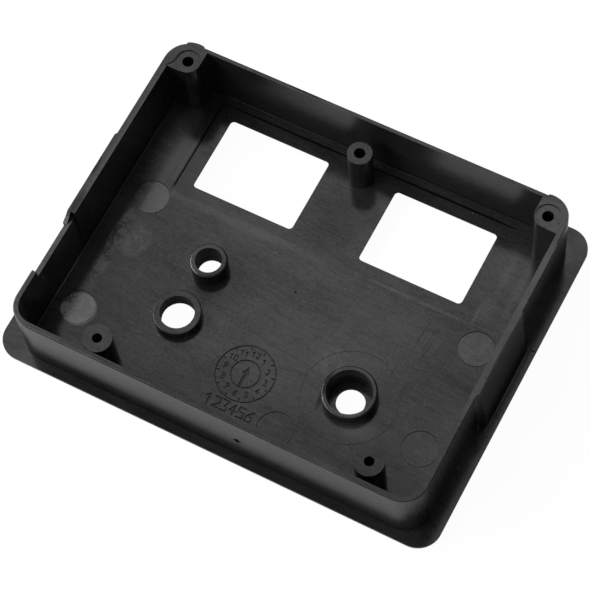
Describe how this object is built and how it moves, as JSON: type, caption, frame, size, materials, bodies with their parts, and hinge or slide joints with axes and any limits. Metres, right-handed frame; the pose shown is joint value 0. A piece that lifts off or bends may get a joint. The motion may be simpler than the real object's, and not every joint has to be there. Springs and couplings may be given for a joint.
{
  "type": "moulded plastic housing",
  "caption": "Shallow open-backed plastic front housing: a flanged panel with rectangular windows, round collars, screw bosses and an upright wall for a rear cover.",
  "frame": {"origin": "centre of the flange's outline on its outer face, which lies on z = 0", "axes": "+X along the long side, towards the wall with the thicker rim; +Y along the short side, towards the windows; +Z from the outer face to the open side"},
  "size_m": [0.11, 0.0842, 0.0205],
  "materials": {
    "black_nylon": "matt black glass-filled nylon with flow marks and light dust"
  },
  "bodies": {
    "root": {"housing": "black_nylon"}
  },
  "joints": []
}
